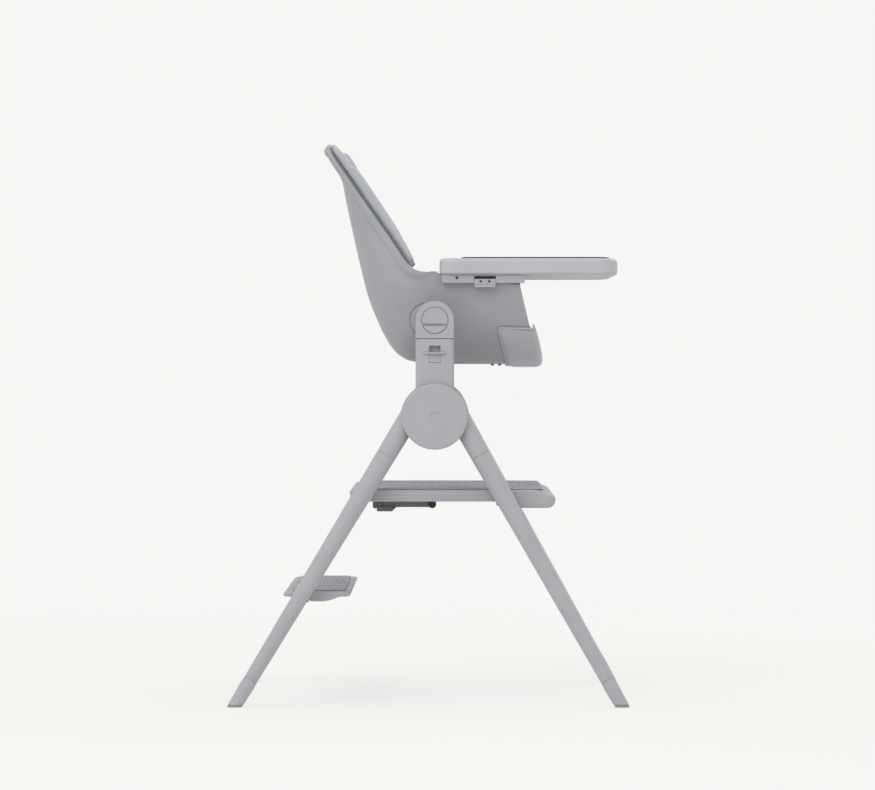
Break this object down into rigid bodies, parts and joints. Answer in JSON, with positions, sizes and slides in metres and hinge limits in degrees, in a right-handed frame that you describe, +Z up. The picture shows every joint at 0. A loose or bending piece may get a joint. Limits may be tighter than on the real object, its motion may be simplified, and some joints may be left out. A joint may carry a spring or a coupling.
{
  "type": "baby high chair",
  "caption": "High chair with a reclining bucket seat, sliding tray and padded liner on an A-frame stand with a foot plate and a step.",
  "frame": {"origin": "on the floor, midway between the front and rear feet, on the centre plane", "axes": "+X the way the child faces, +Y the child's left, +Z up"},
  "size_m": [0.6916, 0.57, 0.9755],
  "materials": {
    "frame_plastic": "satin light grey",
    "leg_tube": "satin grey paint",
    "rubber": "matte",
    "board_plastic": "satin grey",
    "grip_mat": "textured non-slip",
    "dark_steel": "dark grey paint",
    "shell_plastic": "fine-grained matte grey",
    "tray_plastic": "satin pale grey",
    "liner_fabric": "soft coated weave",
    "webbing": "woven strap",
    "buckle_plastic": "matte dark grey"
  },
  "bodies": {
    "stand": {"hub_housing_left": "frame_plastic", "hub_housing_right": "frame_plastic", "hub_cover_left": "frame_plastic", "hub_cover_right": "frame_plastic", "leg_front_left": "leg_tube", "leg_front_right": "leg_tube", "leg_rear_left": "leg_tube", "leg_rear_right": "leg_tube", "foot_sleeve_front_left": "frame_plastic", "foot_sleeve_front_right": "frame_plastic", "foot_sleeve_rear_left": "frame_plastic", "foot_sleeve_rear_right": "frame_plastic", "foot_pad_front_left": "rubber", "foot_pad_front_right": "rubber", "foot_pad_rear_left": "rubber", "foot_pad_rear_right": "rubber", "support_post_left": "frame_plastic", "support_post_right": "frame_plastic", "platform_bracket_front_left": "board_plastic", "platform_bracket_front_right": "board_plastic", "platform_bracket_rear_left": "board_plastic", "platform_bracket_rear_right": "board_plastic", "step_bracket_left": "board_plastic", "step_bracket_right": "board_plastic", "step_board": "board_plastic", "step_mat": "grip_mat"},
    "platform": {"platform_board": "board_plastic", "platform_mat": "grip_mat", "platform_catch": "dark_steel"},
    "bail": {"release_bail": "dark_steel"},
    "seat_latch_l": {"seat_latch_left": "frame_plastic"},
    "seat_latch_r": {"seat_latch_right": "frame_plastic"},
    "heads": {"pivot_head_left": "frame_plastic", "pivot_head_right": "frame_plastic", "pivot_cap_left": "frame_plastic", "pivot_cap_right": "frame_plastic"},
    "recline_button_l": {"recline_button_left": "frame_plastic"},
    "recline_button_r": {"recline_button_right": "frame_plastic"},
    "seat": {"seat_shell": "shell_plastic", "pivot_boss_left": "shell_plastic", "pivot_boss_right": "shell_plastic", "back_pad": "liner_fabric", "head_pad": "liner_fabric", "side_bolster_left": "liner_fabric", "side_bolster_right": "liner_fabric", "seat_pad": "liner_fabric", "calf_apron": "liner_fabric", "shoulder_strap_left": "webbing", "shoulder_strap_right": "webbing", "crotch_strap": "webbing", "buckle": "buckle_plastic"},
    "harness_button": {"buckle_button": "buckle_plastic"},
    "tray": {"tray_base": "tray_plastic", "tray_rail_left": "frame_plastic", "tray_rail_right": "frame_plastic"},
    "insert": {"tray_insert": "tray_plastic"},
    "tray_tab_l": {"tray_tab_left": "frame_plastic"},
    "tray_tab_r": {"tray_tab_right": "frame_plastic"}
  },
  "joints": [
    {"name": "platform_lift", "type": "slide", "parent": "stand", "child": "platform", "axis": [0, 0, 1], "range_m": [0, 0.05]},
    {"name": "bail_swing", "type": "hinge", "parent": "platform", "child": "bail", "pos_m": [-0.086, 0, 0.3423], "axis": [0, 1, 0], "range_deg": [0, 25], "stiffness_Nm_per_rad": 1, "springref_deg": -28.65},
    {"name": "seat_latch_left_slide", "type": "slide", "parent": "stand", "child": "seat_latch_l", "axis": [0, 0, 1], "range_m": [0, 0.009], "stiffness_N_per_m": 300, "springref_m": -0.003},
    {"name": "seat_latch_right_slide", "type": "slide", "parent": "stand", "child": "seat_latch_r", "axis": [0, 0, 1], "range_m": [0, 0.009], "stiffness_N_per_m": 300, "springref_m": -0.003},
    {"name": "seat_lift", "type": "slide", "parent": "stand", "child": "heads", "axis": [0, 0, 1], "range_m": [0, 0.09]},
    {"name": "recline_button_left_press", "type": "slide", "parent": "heads", "child": "recline_button_l", "axis": [0, -1, 0], "range_m": [0, 0.0035], "stiffness_N_per_m": 500, "springref_m": -0.002},
    {"name": "recline_button_right_press", "type": "slide", "parent": "heads", "child": "recline_button_r", "axis": [0, 1, 0], "range_m": [0, 0.0035], "stiffness_N_per_m": 500, "springref_m": -0.002},
    {"name": "seat_recline", "type": "hinge", "parent": "heads", "child": "seat", "pos_m": [0.011, 0, 0.663], "axis": [0, -1, 0], "range_deg": [0, 13.5]},
    {"name": "buckle_press", "type": "slide", "parent": "seat", "child": "harness_button", "axis": [0, 0, -1], "range_m": [0, 0.0025], "stiffness_N_per_m": 500, "springref_m": -0.002},
    {"name": "tray_slide", "type": "slide", "parent": "seat", "child": "tray", "axis": [1, 0, 0], "range_m": [0, 0.075]},
    {"name": "insert_lift", "type": "slide", "parent": "tray", "child": "insert", "axis": [0, 0, 1], "range_m": [0, 0.06]},
    {"name": "tray_tab_left_push", "type": "slide", "parent": "tray", "child": "tray_tab_l", "axis": [0, 0, 1], "range_m": [0, 0.004], "stiffness_N_per_m": 400, "springref_m": -0.003},
    {"name": "tray_tab_right_push", "type": "slide", "parent": "tray", "child": "tray_tab_r", "axis": [0, 0, 1], "range_m": [0, 0.004], "stiffness_N_per_m": 400, "springref_m": -0.003}
  ]
}
